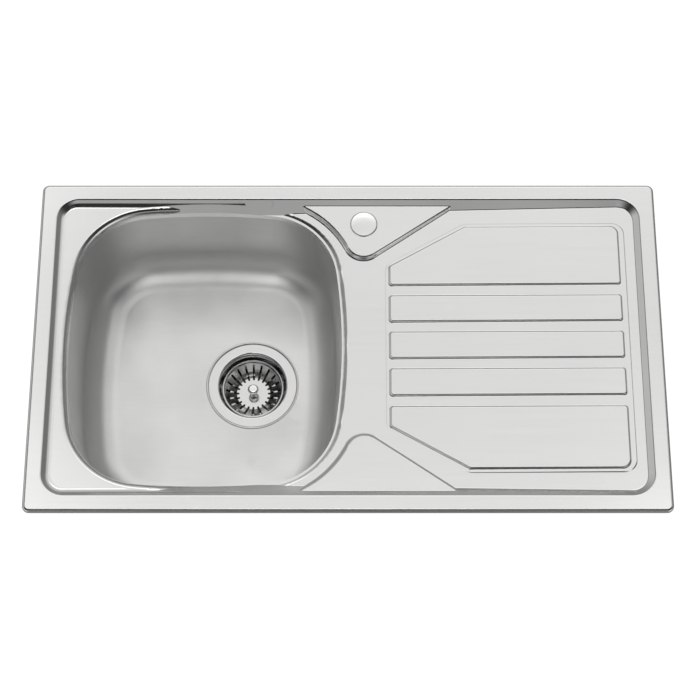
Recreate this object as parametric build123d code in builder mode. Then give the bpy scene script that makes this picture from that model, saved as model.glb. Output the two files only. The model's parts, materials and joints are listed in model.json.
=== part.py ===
from build123d import *
from math import atan, degrees, radians, sin, tan
import os

# Inset kitchen sink: one bowl on the left, a drainer on the right, for a cut-out in a worktop.
# Frame: millimetres, X along the length (drainer at +X), Y to the back, +Z up.
# The origin is the centre of the rim, on the worktop, where the rim's seal rests.

# ---- sheet and rim ----
sheet = 0.8
rim_length = 780.0
rim_depth = 435.0
rim_top = 6.0
rim_corner = 8.5
edge_bend = 3.8
edge_gap = 0.5

# ---- stepped border inside the rim ----
step_length = 740.0
step_depth = 394.0
step_corner = 28.0
step_run = 7.5
step_drop = 5.5
step_reach = 12.5
step_bend = 3.6
step_foot_bend = 2.5
left_foot_bend = 12.0
left_foot_end_x = -150.0
ledge_z = rim_top - step_drop
step_taper = degrees(atan(step_run / step_drop))
step_foot_x = step_length / 2 - step_run
step_foot_y = step_depth / 2 - step_run
step_foot_low = -1.7
step_foot_below = 5.0
step_end_below = 8.0

# ---- drainer floor: a plane that falls from the right end to the bowl ----
floor_at_bowl = -4.5
floor_at_end = 0.0
floor_end_x = 360.0
floor_fall = (floor_at_end - floor_at_bowl) / floor_end_x
basin_taper = 34.0
basin_reach = 9.0
basin_bend = 2.4
basin_foot_low = floor_at_bowl - 1
basin_foot_high = floor_at_bowl + 1.5

# ---- bowl ----
bowl_x = -178.0
mouth_half_length = 178.3
mouth_half_depth = 190.5
mouth_side_arc = 725.0
mouth_end_arc = 900.0
mouth_corner = 100.0
mouth_bend = 8.0
dip_start_x = -245.0
dip_end_x = -150.0
bowl_depth = 150.0
bowl_floor_z = rim_top - bowl_depth
bowl_draft = 4.5
floor_bend = 40.0
collar_z = -14.0
wall_inset = mouth_bend * tan(radians((90 - bowl_draft) / 2))

# ---- tap ledge and front corner ledge, mirror images of each other ----
ledge_hollow = 126.0
ledge_centre = (-113.0, 76.0)
ledge_apex = (9.2, 107.2)
ledge_angle = 34.0
ledge_round = 22.0
ledge_near_x = -60.0
ledge_far_x = 140.0
shortest_bend = 25.0

# ---- raised drainer strips ----
strip_left = 53.0
strip_right = 341.0
strip_count = 5
strip_pitch = 49.0
strip_width = 33.0
strip_lift = 2.8
strip_taper = 34.0
strip_bend = 1.7
strip_round = 3.0
outer_strip_near = 82.0
outer_strip_far = 160.0
outer_strip_corner = 10.0
outer_strip_tip = 106.0
outer_strip_shoulder = 148.0
platform_margin = 6.0
platform_end_margin = 9.0
platform_lift = 1.2
platform_left_lift = 0.3
platform_taper = 45.0

# ---- tap hole ----
tap_hole = (20.0, 164.0)
tap_hole_radius = 17.5
blank_gap = 0.15
blank_proud = 1.0
blank_crown = 0.7
blank_shoulder = 1.6

# ---- waste seat in the bowl floor ----
waste = (-125.0, 0.0)
seat_radius = 60.0
seat_drop = 3.0
seat_taper = 34.0
waste_hole = 45.0
seat_z = bowl_floor_z - seat_drop

# ---- rim seal ----
seal_edge = 3.9
seal_width = 8.5
seal_corner = 5.0
seal_inner_corner = 3.0

# ---- fixing clips ----
clip_pin_y = 201.3
clip_pin_x = 373.8
clip_pin_z = -7.0
clip_x_front = (-325.0, 20.0, 300.0)
clip_x_back = (-325.0, 75.0, 300.0)
pin_radius = 1.5
pin_head = 2.4
pin_head_height = 0.8
lug_width = 20.0
lug_sheet = 1.0
lug_web_y = 1.9
lug_lip_y = -3.3
lug_web_foot = 4.0
ear_radius = 2.6
ear_overlap = 0.3
clip_swing = 35.0
left_clip_swing = 25.0
arm_width = 16.0
arm_sheet = 1.5
arm_curl = 2.8
arm_clearance = 0.06
arm_length = 48.0
arm_reach = 18.0
arm_bend = 4.0
screw_y = -12.5
screw_radius = 2.5
screw_clearance = 0.05
screw_boss = 4.2
screw_boss_height = 3.0
screw_tip_z = -35.0
screw_length = 34.0
screw_head = 4.6
screw_head_height = 4.0
screw_point = 1.2
cross_width = 1.2
cross_length = 6.0
cross_depth = 2.0

# ---- basket waste ----
gasket = 1.4
gasket_radius = 55.7
gasket_setback = 2.0
cup_sheet = 1.0
cup_flange = 58.5
flange_z = seat_z + gasket + cup_sheet
cup_mouth = 44.0
cup_mouth_bend = 2.5
cup_bend = 1.2
cup_throat = 42.4
cup_throat_z = -158.5
cup_shelf = 40.6
cup_shelf_z = -161.5
cup_floor = 31.5
cup_floor_z = -180.2
well_radius = 17.5
well_draft = 1.0
well_floor_z = -187.0
well_hole_circle = 12.3
well_hole = 2.5
well_hole_count = 6
screw_hole = 6.0
screw_shank = 5.9
lower_gasket = 2.5
body_ring = 56.0
body_ring_height = 5.0
body_funnel_drop = 9.0
body_inner_drop = 11.0
body_waist = 37.5
body_waist_z = -189.0
body_inner_waist = 35.0
body_inner_waist_z = -190.0
spigot_top_z = -200.0
body_ring_z = seat_z - sheet - lower_gasket
body_wall = 2.5
body_bore = 45.3
spigot_radius = 23.9
spigot_bore = 19.5
spigot_inner_z = -202.0
body_foot_z = -232.0
boss_radius = 9.0
boss_top_z = well_floor_z - cup_sheet
boss_foot_z = -212.0
rib = 2.5
rib_length = 42.0
rib_top_z = -191.0
rib_foot_z = -204.0

# ---- basket ----
basket_rim = 40.5
basket_rim_z = -156.0
bead = 1.4
basket_sheet = 0.8
basket_wall_top = 37.8
basket_neck = 4.0
basket_neck_draft = 0.6
basket_wall_foot = 22.0
basket_floor_z = -175.6
slot_count = 20
slot_width = 2.8
slot_inner = 18.8
slot_outer = 36.2
stem_radius = 2.2
stem_chamfer = 0.8
stem_top_z = -166.5
stem_foot_z = -196.0
knob_radius = 7.0
knob_top_z = -157.6
knob_dome = 3.0
knob_lip = 1.0
knob_neck = 3.0
knob_cap = 5.2
closing_seal_radius = 26.0
closing_seal_bore = 10.0
retainer_radius = 14.0
retainer_sheet = 1.2
clip_gap = 0.06
sleeve_radius = 4.0
sleeve_collar = 5.4
sleeve_collar_height = 0.9
sleeve_length = 9.0
sleeve_slit = 1.0
sleeve_slit_length = 7.0
screw_head_radius = 8.5
screw_head_top = -184.0
screw_foot_z = -214.0
socket_floor_z = -198.0

# ---- damping pad ----
pad_centre_x = -245.0
pad_size = (90.0, 180.0)
pad_corner = 6.0
pad_thickness = 2.5


def mouth_outline(z, inset):
    """The bowl's bulged outline at height z, drawn in by inset."""
    side_offset = mouth_side_arc - mouth_half_length
    end_offset = mouth_end_arc - mouth_half_depth
    with BuildSketch(Plane.XY.offset(z)) as outline:
        with Locations((bowl_x - side_offset, 0)):
            Circle(mouth_side_arc - inset)
        with Locations((bowl_x + side_offset, 0)):
            Circle(mouth_side_arc - inset, mode=Mode.INTERSECT)
        with Locations((bowl_x, -end_offset)):
            Circle(mouth_end_arc - inset, mode=Mode.INTERSECT)
        with Locations((bowl_x, end_offset)):
            Circle(mouth_end_arc - inset, mode=Mode.INTERSECT)
        fillet(outline.vertices(), mouth_corner - inset)
    return outline.sketch


def bowl_form(depth):
    """The bowl's hollow for depth 0, and its outside for depth equal to the sheet."""
    headroom = 8.0
    top = ledge_z + headroom
    with BuildPart() as form:
        add(mouth_outline(top, wall_inset - depth - headroom * tan(radians(bowl_draft))))
        extrude(amount=bowl_floor_z - depth - top, taper=bowl_draft)
        fillet(form.faces().sort_by(Axis.Z)[0].edges(), floor_bend + depth)
        with BuildSketch(Plane.XY.offset(bowl_floor_z - depth)):
            with Locations(waste):
                Circle(seat_radius)
        extrude(amount=-seat_drop, taper=seat_taper)
    return form.part


def drainer_plane(depth):
    """The sloping floor of the drainer, lowered by depth."""
    return Plane(origin=(0, 0, floor_at_bowl - depth), x_dir=(1, 0, floor_fall), z_dir=(-floor_fall, 0, 1))


def mouth_form(depth):
    """The bowl's hollow with a rounded bend at its mouth, dipping from the ledge to the drainer floor."""
    headroom = 30.0
    past_bowl = 30.0
    with BuildPart() as form:
        add(bowl_form(depth))
        with BuildSketch(Plane.XZ.offset(-rim_depth / 2)):
            with BuildLine():
                level = Line((-rim_length / 2, ledge_z - depth), (dip_start_x, ledge_z - depth))
                dip_foot = (dip_end_x, floor_at_bowl - depth + dip_end_x * floor_fall)
                dip = Spline(level @ 1, dip_foot, tangents=[(1, 0), (1, floor_fall)])
                run = Line(dip @ 1, (past_bowl, floor_at_bowl - depth + past_bowl * floor_fall))
                Polyline(run @ 1, (past_bowl, headroom), (-rim_length / 2, headroom), level @ 0)
            make_face()
        extrude(amount=rim_depth)
        lowest_bend = floor_at_bowl - depth + dip_end_x * floor_fall
        rims = form.edges().filter_by_position(Axis.Z, lowest_bend, ledge_z - depth + 0.1)
        rims = rims.filter_by_position(Axis.X, bowl_x - mouth_half_length, bowl_x + mouth_half_length)
        rims = rims.filter_by_position(Axis.Y, -mouth_half_depth, mouth_half_depth)
        fillet(rims, mouth_bend - depth)
    with BuildPart() as trimmed:
        add(form.part)
        add(mouth_outline(headroom, -1.0))
        extrude(amount=bowl_floor_z - 2 * headroom, mode=Mode.INTERSECT)
    return trimmed.part


def ledge_outline(side):
    """The raised ledge beside the bowl's corner: side is 1 at the back and -1 at the front."""
    apex_x, apex_y = ledge_apex
    slope = tan(radians(ledge_angle))
    lead_in = 40.0
    lead_out = 260.0
    far_left = -300.0
    with BuildSketch() as ledge:
        with BuildLine():
            Polyline(
                (apex_x - lead_in, side * (apex_y - lead_in * slope)),
                (apex_x + lead_out, side * (apex_y + lead_out * slope)),
                (far_left, side * (apex_y + lead_out * slope)),
                (far_left, side * (apex_y + lead_in)),
                close=True,
            )
        make_face()
        with Locations((ledge_centre[0], side * ledge_centre[1])):
            Circle(ledge_hollow, mode=Mode.SUBTRACT)
        fillet(ledge.vertices().sort_by_distance((apex_x, side * apex_y))[0], ledge_round)
    return ledge.sketch


def basin_form(depth):
    """The drainer's hollow below the ledges."""
    left = -130.0
    right = 440.0
    with BuildPart() as form:
        with BuildSketch(Plane.XY.offset(ledge_z - depth)):
            with Locations(((left + right) / 2, 0)):
                Rectangle(right - left, rim_depth)
            add(ledge_outline(1), mode=Mode.SUBTRACT)
            add(ledge_outline(-1), mode=Mode.SUBTRACT)
        extrude(amount=-basin_reach, taper=basin_taper)
        split(bisect_by=drainer_plane(depth), keep=Keep.TOP)
    return form.part


def outer_strip(side, margin):
    """Outline of the strip beside the drainer's long edge, with its corner cut to follow the ledge."""
    with BuildSketch(Plane.XY) as strip:
        with BuildLine():
            Polyline(
                (strip_left, side * outer_strip_near),
                (strip_right, side * outer_strip_near),
                (strip_right, side * outer_strip_far),
                (outer_strip_shoulder, side * outer_strip_far),
                (strip_left, side * outer_strip_tip),
                close=True,
            )
        make_face()
        corners = strip.vertices().sort_by_distance((strip_right, side * outer_strip_far))
        fillet(corners[1:], strip_round)
        corner = strip.vertices().sort_by_distance((strip_right, side * outer_strip_far))[0]
        fillet(corner, outer_strip_corner)
        offset(amount=margin)
    return strip.sketch


def platform_outline(margin):
    """Outline of the low platform under all the strips."""
    right = strip_right + platform_end_margin - platform_margin
    with BuildSketch(Plane.XY) as platform:
        with BuildLine():
            Polyline(
                (strip_left, -outer_strip_tip),
                (outer_strip_shoulder, -outer_strip_far),
                (right, -outer_strip_far),
                (right, outer_strip_far),
                (outer_strip_shoulder, outer_strip_far),
                (strip_left, outer_strip_tip),
                close=True,
            )
        make_face()
        fillet(platform.vertices(), outer_strip_corner)
        offset(amount=margin)
    return platform.sketch


def strips_form(depth):
    """The raised strips on their platform, standing on the sloping floor."""
    root = 1.0
    spread = (root + strip_lift) * tan(radians(strip_taper))
    platform_spread = platform_margin + root * tan(radians(platform_taper))
    floor = drainer_plane(depth + root)
    upward = Axis(floor.origin, floor.z_dir)
    top_start = strip_left - platform_margin
    top_slope = floor_fall + (platform_lift - platform_left_lift) / (strip_right - strip_left)
    top = Plane(
        origin=(top_start, 0, floor_at_bowl - depth + top_start * floor_fall + platform_left_lift),
        x_dir=(1, 0, top_slope),
        z_dir=(-top_slope, 0, 1),
    )
    with BuildPart() as form:
        with BuildSketch(floor):
            add(platform_outline(platform_spread))
        extrude(amount=root + 2 * platform_lift, taper=platform_taper)
        split(bisect_by=top, keep=Keep.BOTTOM)
        with BuildSketch(floor):
            with Locations(*[((strip_left + strip_right) / 2, row * strip_pitch) for row in (-1, 0, 1)]):
                RectangleRounded(
                    strip_right - strip_left + 2 * spread, strip_width + 2 * spread, strip_round + spread
                )
        extrude(amount=root + strip_lift, taper=strip_taper)
        for side in (1, -1):
            with BuildSketch(floor):
                add(outer_strip(side, spread))
            extrude(amount=root + strip_lift, taper=strip_taper)
        strip_tops = form.faces().sort_by(upward)[-strip_count:]
        fillet(strip_tops.edges(), strip_bend - depth)
        platform_top = form.faces().filter_by(lambda face: len(face.inner_wires()) == strip_count)[0]
        feet = [edge for wire in platform_top.inner_wires() for edge in wire.edges()]
        fillet(feet, strip_bend + depth)
    return form.part


def beside_basin(edge):
    """Whether an edge follows the wall between a raised ledge and the drainer floor."""
    centre = edge.center()
    at_ledge = ledge_near_x < centre.X < ledge_far_x and abs(centre.Y) < step_foot_y - 2
    return edge.length > shortest_bend and at_ledge


def along_step_foot(edge):
    """Whether an edge follows the foot of the rim's step."""
    centre = edge.center()
    at_side = step_foot_y - step_foot_below < abs(centre.Y) < step_foot_y + sheet
    at_end = step_foot_x - step_end_below < abs(centre.X) < step_foot_x + sheet
    return edge.length > shortest_bend and (at_side or at_end)


def step_form(depth):
    """The tapered space inside the rim's step, carried on down past the drainer floor."""
    with BuildPart() as form:
        with BuildSketch(Plane.XY.offset(rim_top - depth)):
            RectangleRounded(step_length, step_depth, step_corner)
        extrude(amount=-step_reach, taper=step_taper)
    return form.part


def pan_form(depth):
    """The solid under the rim, the ledges and the plain drainer floor, with its bends rounded."""
    with BuildPart() as pan:
        with BuildSketch(Plane.XY.offset(ledge_z - depth)):
            Rectangle(rim_length, rim_depth)
        extrude(amount=2 * rim_top)
        add(basin_form(depth))
        add(step_form(depth), mode=Mode.INTERSECT)
    with BuildPart() as form:
        with BuildSketch(Plane.XY.offset(rim_top - depth)):
            RectangleRounded(rim_length - 2 * depth, rim_depth - 2 * depth, rim_corner - depth)
        extrude(amount=collar_z - rim_top + depth)
        fillet(form.faces().sort_by(Axis.Z)[-1].edges(), edge_bend - depth)
        add(pan.part, mode=Mode.SUBTRACT)
        fillet(form.faces().sort_by(Axis.Z)[-1].inner_wires()[0].edges(), step_bend - depth)
        ledge_tops = form.edges().filter_by_position(Axis.Z, ledge_z - depth - 0.01, ledge_z - depth + 0.01)
        fillet(ledge_tops.filter_by(beside_basin), basin_bend - depth)
        basin_feet = form.edges().filter_by_position(Axis.Z, basin_foot_low - depth, basin_foot_high - depth)
        fillet(basin_feet.filter_by(beside_basin), basin_bend + depth)
        step_feet = form.edges().filter_by_position(Axis.Z, step_foot_low - depth, ledge_z - depth + 0.01)
        step_feet = step_feet.filter_by(along_step_foot)
        right_feet = step_feet.filter_by_position(Axis.X, left_foot_end_x, rim_length / 2)
        fillet(right_feet, step_foot_bend + depth)
        left_feet = form.edges().filter_by_position(Axis.Z, ledge_z - depth - 0.01, ledge_z - depth + 0.01)
        left_feet = left_feet.filter_by(along_step_foot)
        left_feet = left_feet.filter_by_position(Axis.X, -rim_length / 2, left_foot_end_x)
        fillet(left_feet, left_foot_bend + depth)
    return form.part


def top_form(depth):
    """Everything under the deck's top surface, lowered and drawn in by depth."""
    with BuildPart() as hollow:
        add(mouth_form(depth))
        add(step_form(depth), mode=Mode.INTERSECT)
        add(bowl_form(depth))
    with BuildPart() as form:
        add(pan_form(depth))
        add(strips_form(depth))
        add(hollow.part, mode=Mode.SUBTRACT)
    return form.part


# Deck: one pressed sheet. The solid under its top surface, less the same solid one sheet lower.
# The press tool is the same at the front and the back, so the front half is mirrored.
with BuildPart() as deck:
    add(top_form(0))
    add(top_form(sheet), mode=Mode.SUBTRACT)
    with BuildSketch(Plane.XY.offset(edge_gap)):
        Rectangle(2 * rim_length, 2 * rim_depth)
        Rectangle(step_length + 2 * edge_bend, step_depth + 2 * edge_bend, mode=Mode.SUBTRACT)
    extrude(amount=-4 * rim_top, mode=Mode.SUBTRACT)
    split(bisect_by=Plane.XZ, keep=Keep.TOP)
    mirror(about=Plane.XZ)
    with BuildSketch(Plane.XY.offset(rim_top)):
        with Locations(tap_hole):
            Circle(tap_hole_radius)
    extrude(amount=-3 * rim_top, mode=Mode.SUBTRACT)
deck.part.label = "deck"

# Bowl: deep-drawn, welded to the deck's collar, with the pressed seat and hole for the waste.
with BuildPart() as bowl:
    add(bowl_form(sheet))
    add(bowl_form(0), mode=Mode.SUBTRACT)
    split(bisect_by=Plane.XY.offset(collar_z), keep=Keep.BOTTOM)
    with BuildSketch(Plane.XY.offset(bowl_floor_z)):
        with Locations(waste):
            Circle(waste_hole)
    extrude(amount=-2 * seat_drop, mode=Mode.SUBTRACT)
bowl.part.label = "bowl"

# Half-punched disc in the tap hole: proud of the ledge, domed, with a rounded shoulder.
blank_radius = tap_hole_radius - blank_gap
blank_top = ledge_z + blank_proud
blank_plane = Plane(origin=(tap_hole[0], tap_hole[1], 0), x_dir=(1, 0, 0), z_dir=(0, -1, 0))


def blank_arcs(radius, top, shoulder):
    """Dome and shoulder of the disc, from its axis to its rim: the ends of the profile."""
    crown = (0, top + blank_crown)
    rim = (radius, top - shoulder)
    dome = TangentArc(crown, (radius - shoulder, top), tangent=(1, 0))
    TangentArc(dome @ 1, rim, tangent=dome % 1)
    return crown, rim


with BuildPart() as tap_hole_blank:
    with BuildSketch(blank_plane):
        with BuildLine():
            outer_crown, outer_rim = blank_arcs(blank_radius, blank_top, blank_shoulder)
            inner_crown, inner_rim = blank_arcs(
                blank_radius - sheet, blank_top - sheet, blank_shoulder - sheet
            )
            Polyline(outer_rim, (outer_rim[0], ledge_z - sheet), (inner_rim[0], ledge_z - sheet), inner_rim)
            Line(inner_crown, outer_crown)
        make_face()
    revolve(axis=Axis((tap_hole[0], tap_hole[1], 0), (0, 0, 1)))
tap_hole_blank.part.label = "tap_hole_blank"

# Foam rubber strip between the rim and the worktop.
with BuildPart() as rim_seal:
    with BuildSketch(Plane.XY):
        RectangleRounded(rim_length - 2 * seal_edge, rim_depth - 2 * seal_edge, seal_corner)
        RectangleRounded(
            rim_length - 2 * (seal_edge + seal_width),
            rim_depth - 2 * (seal_edge + seal_width),
            seal_inner_corner,
            mode=Mode.SUBTRACT,
        )
    extrude(amount=rim_top - sheet)
rim_seal.part.label = "rim_seal"

# Damping pad stuck under the bowl floor.
with BuildPart() as bowl_damping_pad:
    with BuildSketch(Plane.XY.offset(bowl_floor_z - sheet)):
        with Locations((pad_centre_x, 0)):
            RectangleRounded(pad_size[0], pad_size[1], pad_corner)
    extrude(amount=-pad_thickness)
bowl_damping_pad.part.label = "bowl_damping_pad"

# ---- fixing clips: made once with the rivet's axis at the origin and +Y towards the sink ----
lug_top = rim_top - sheet - clip_pin_z
with BuildPart() as lug:
    with BuildSketch(Plane.XY.offset(lug_web_foot)):
        with Locations((0, lug_web_y + lug_sheet / 2)):
            Rectangle(lug_width, lug_sheet)
    extrude(amount=lug_top - lug_web_foot)
    with BuildSketch(Plane.XY.offset(lug_top - lug_sheet)):
        with Locations((0, (lug_lip_y + lug_web_y + lug_sheet) / 2)):
            Rectangle(lug_width, lug_web_y + lug_sheet - lug_lip_y)
    extrude(amount=lug_sheet)
    for side in (1, -1):
        inner_face = side * (lug_width / 2 - lug_sheet)
        with BuildSketch(Plane.YZ.offset(inner_face)):
            Circle(ear_radius)
            with Locations((ear_overlap / 2, (lug_web_foot + lug_sheet) / 2)):
                Rectangle(2 * ear_radius + ear_overlap, lug_web_foot + lug_sheet)
            Circle(pin_radius, mode=Mode.SUBTRACT)
        extrude(amount=side * lug_sheet)

with BuildPart() as rivet:
    with BuildSketch(Plane.YZ.offset(-lug_width / 2 - pin_head_height)):
        Circle(pin_head)
    extrude(amount=pin_head_height)
    with BuildSketch(Plane.YZ.offset(-lug_width / 2)):
        Circle(pin_radius)
    extrude(amount=lug_width)
    with BuildSketch(Plane.YZ.offset(lug_width / 2)):
        Circle(pin_head)
    extrude(amount=pin_head_height)

with BuildPart() as arm:
    with BuildSketch(Plane.YZ.offset(-arm_width / 2)):
        with BuildLine():
            FilletPolyline((0, 0), (0, -arm_length), (-arm_reach, -arm_length), radius=arm_bend)
            offset(amount=arm_sheet / 2, kind=Kind.TANGENT)
        make_face()
        Circle(arm_curl)
        Circle(pin_radius + arm_clearance, mode=Mode.SUBTRACT)
    extrude(amount=arm_width)
    with BuildSketch(Plane.XY.offset(-arm_length)):
        with Locations((0, screw_y)):
            Circle(screw_boss)
    extrude(amount=-(arm_sheet / 2 + screw_boss_height))
    with BuildSketch(Plane.XY.offset(-arm_length + arm_sheet)):
        with Locations((0, screw_y)):
            Circle(screw_radius + screw_clearance)
    extrude(amount=-3 * screw_boss_height, mode=Mode.SUBTRACT)

with BuildPart() as clamp_screw:
    with BuildSketch(Plane.XY.offset(screw_tip_z)):
        with Locations((0, screw_y)):
            Circle(screw_radius)
    extrude(amount=-screw_length)
    chamfer(clamp_screw.faces().sort_by(Axis.Z)[-1].edges(), screw_point)
    with BuildSketch(Plane.XY.offset(screw_tip_z - screw_length)):
        with Locations((0, screw_y)):
            RegularPolygon(screw_head, 6)
    extrude(amount=-screw_head_height)
    with BuildSketch(Plane.XY.offset(screw_tip_z - screw_length - screw_head_height)):
        with Locations((0, screw_y)):
            Rectangle(cross_width, cross_length)
            Rectangle(cross_length, cross_width)
    extrude(amount=cross_depth, mode=Mode.SUBTRACT)

# Three clips at the front, three at the back, one at the left and one at the right. The arms rest
# swung in under the sink, as it is dropped into its cut-out; the left one stops short of the bowl.
clip_sites = []
for x in clip_x_front:
    clip_sites.append(Location((x, -clip_pin_y, clip_pin_z)))
for x in clip_x_back:
    clip_sites.append(Location((x, clip_pin_y, clip_pin_z), (0, 0, 180)))
clip_sites.append(Location((-clip_pin_x, 0, clip_pin_z), (0, 0, -90)))
clip_sites.append(Location((clip_pin_x, 0, clip_pin_z), (0, 0, 90)))
clip_swings = [clip_swing] * len(clip_sites)
clip_swings[-2] = left_clip_swing

with BuildPart() as clip_lugs:
    with Locations(*clip_sites):
        add(lug.part)
clip_lugs.part.label = "clip_lugs"

with BuildPart() as clip_pins:
    with Locations(*clip_sites):
        add(rivet.part)
clip_pins.part.label = "clip_pins"

# ---- basket waste, turned about its own upright axis ----
waste_axis = Axis((waste[0], waste[1], 0), (0, 0, 1))
waste_plane = Plane(origin=(waste[0], waste[1], 0), x_dir=(1, 0, 0), z_dir=(0, -1, 0))

with BuildPart() as strainer_flange:
    with BuildSketch(waste_plane):
        with BuildLine():
            mouth = FilletPolyline(
                (cup_flange, flange_z),
                (cup_mouth, flange_z),
                (cup_throat, cup_throat_z),
                (cup_shelf, cup_shelf_z),
                (cup_floor, cup_floor_z),
                radius=[cup_mouth_bend, cup_bend, cup_bend],
            )
            Polyline(
                mouth @ 1,
                (well_radius, cup_floor_z),
                (well_radius - well_draft, well_floor_z),
                (screw_hole, well_floor_z),
            )
            offset(amount=cup_sheet, side=Side.LEFT)
        make_face()
    revolve(axis=waste_axis)
    with BuildSketch(Plane.XY.offset(well_floor_z + cup_sheet)):
        with Locations(waste):
            with PolarLocations(well_hole_circle, well_hole_count):
                Circle(well_hole)
    extrude(amount=-4 * cup_sheet, mode=Mode.SUBTRACT)
strainer_flange.part.label = "strainer_flange"


def washer(z, outer, inner, thickness):
    """A flat ring on the waste axis with its lower face at height z."""
    with BuildPart() as ring:
        with BuildSketch(Plane.XY.offset(z)):
            with Locations(waste):
                Circle(outer)
                Circle(inner, mode=Mode.SUBTRACT)
        extrude(amount=thickness)
    return ring


flange_gasket = washer(seat_z, gasket_radius, waste_hole + gasket_setback, gasket)
flange_gasket.part.label = "flange_gasket"

lower_gasket_ring = washer(body_ring_z, body_ring - 1, waste_hole + gasket_setback / 2, lower_gasket)
lower_gasket_ring.part.label = "lower_gasket"

with BuildPart() as waste_body:
    with BuildSketch(waste_plane):
        with BuildLine():
            Polyline(
                (body_bore, body_ring_z),
                (body_ring, body_ring_z),
                (body_ring, body_ring_z - body_ring_height),
                (body_bore + body_wall, body_ring_z - body_funnel_drop),
                (body_waist, body_waist_z),
                (spigot_radius, spigot_top_z),
                (spigot_radius, body_foot_z),
                (spigot_bore, body_foot_z),
                (spigot_bore, spigot_inner_z),
                (body_inner_waist, body_inner_waist_z),
                (body_bore, body_ring_z - body_inner_drop),
                close=True,
            )
        make_face()
    revolve(axis=waste_axis)
    with BuildSketch(Plane.XY.offset(rib_foot_z)):
        with Locations(waste):
            Rectangle(rib_length, rib)
            Rectangle(rib, rib_length)
    extrude(amount=rib_top_z - rib_foot_z)
    with BuildSketch(Plane.XY.offset(boss_foot_z)):
        with Locations(waste):
            Circle(boss_radius)
    extrude(amount=boss_top_z - boss_foot_z)
    with BuildSketch(Plane.XY.offset(boss_top_z)):
        with Locations(waste):
            Circle(screw_shank)
    extrude(amount=boss_foot_z - boss_top_z, mode=Mode.SUBTRACT)
waste_body.part.label = "waste_body"

with BuildPart() as waste_screw:
    with BuildSketch(waste_plane):
        with BuildLine():
            Polyline(
                (sleeve_radius + clip_gap, screw_head_top),
                (screw_head_radius, screw_head_top),
                (screw_head_radius, well_floor_z),
                (screw_shank, well_floor_z),
                (screw_shank, screw_foot_z),
                (0, screw_foot_z),
                (0, socket_floor_z),
                (sleeve_radius + clip_gap, socket_floor_z),
                close=True,
            )
        make_face()
    revolve(axis=waste_axis)
waste_screw.part.label = "waste_screw"

with BuildPart() as stem_clip:
    with BuildSketch(waste_plane):
        with BuildLine():
            Polyline(
                (stem_radius + clip_gap, screw_head_top + sleeve_collar_height),
                (sleeve_collar, screw_head_top + sleeve_collar_height),
                (sleeve_collar, screw_head_top),
                (sleeve_radius, screw_head_top),
                (sleeve_radius, screw_head_top - sleeve_length),
                (stem_radius + clip_gap, screw_head_top - sleeve_length),
                close=True,
            )
        make_face()
    revolve(axis=waste_axis)
    with BuildSketch(Plane.XY.offset(screw_head_top - sleeve_length)):
        with Locations(waste):
            Rectangle(3 * sleeve_radius, sleeve_slit)
            Rectangle(sleeve_slit, 3 * sleeve_radius)
    extrude(amount=sleeve_slit_length, mode=Mode.SUBTRACT)
stem_clip.part.label = "stem_clip"

with BuildPart() as strainer_basket:
    with BuildSketch(waste_plane):
        with BuildLine():
            Polyline(
                (basket_wall_top, basket_rim_z - bead),
                (basket_wall_top - basket_neck_draft, basket_rim_z - basket_neck),
                (basket_wall_foot, basket_floor_z),
                (stem_radius, basket_floor_z),
            )
            offset(amount=basket_sheet, side=Side.LEFT)
        make_face()
        with Locations((basket_rim - bead, basket_rim_z - bead)):
            Circle(bead)
    revolve(axis=waste_axis)
    with BuildSketch(Plane.XY.offset(basket_rim_z)):
        with Locations(waste):
            with PolarLocations((slot_inner + slot_outer) / 2, slot_count):
                SlotOverall(slot_outer - slot_inner, slot_width)
    extrude(amount=2 * (basket_floor_z - basket_rim_z), mode=Mode.SUBTRACT)
strainer_basket.part.label = "strainer_basket"

with BuildPart() as basket_knob:
    with BuildSketch(waste_plane):
        with BuildLine():
            dome = TangentArc((0, knob_top_z), (knob_radius, knob_top_z - knob_dome), tangent=(1, 0))
            under = ThreePointArc(
                dome @ 1,
                (knob_radius - knob_lip, knob_top_z - knob_cap + knob_lip / 2),
                (knob_neck, knob_top_z - knob_cap),
            )
            Polyline(under @ 1, (knob_neck, stem_top_z), (0, stem_top_z), dome @ 0)
        make_face()
    revolve(axis=waste_axis)
basket_knob.part.label = "basket_knob"

with BuildPart() as basket_stem:
    with BuildSketch(Plane.XY.offset(stem_foot_z)):
        with Locations(waste):
            Circle(stem_radius)
    extrude(amount=stem_top_z - stem_foot_z)
    chamfer(basket_stem.faces().sort_by(Axis.Z)[0].edges(), stem_chamfer)
basket_stem.part.label = "basket_stem"

basket_under = basket_floor_z - basket_sheet
basket_seal = washer(cup_floor_z, closing_seal_radius, closing_seal_bore, basket_under - cup_floor_z)
basket_seal.part.label = "basket_seal"

with BuildPart() as seal_retainer:
    with BuildSketch(Plane.XY.offset(basket_under)):
        with Locations(waste):
            Circle(closing_seal_bore)
    extrude(amount=cup_floor_z - basket_under)
    with BuildSketch(Plane.XY.offset(cup_floor_z)):
        with Locations(waste):
            Circle(retainer_radius)
    extrude(amount=-retainer_sheet)
    with BuildSketch(Plane.XY.offset(basket_under)):
        with Locations(waste):
            Circle(stem_radius)
    extrude(amount=-3 * retainer_radius, mode=Mode.SUBTRACT)
seal_retainer.part.label = "seal_retainer"

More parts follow.
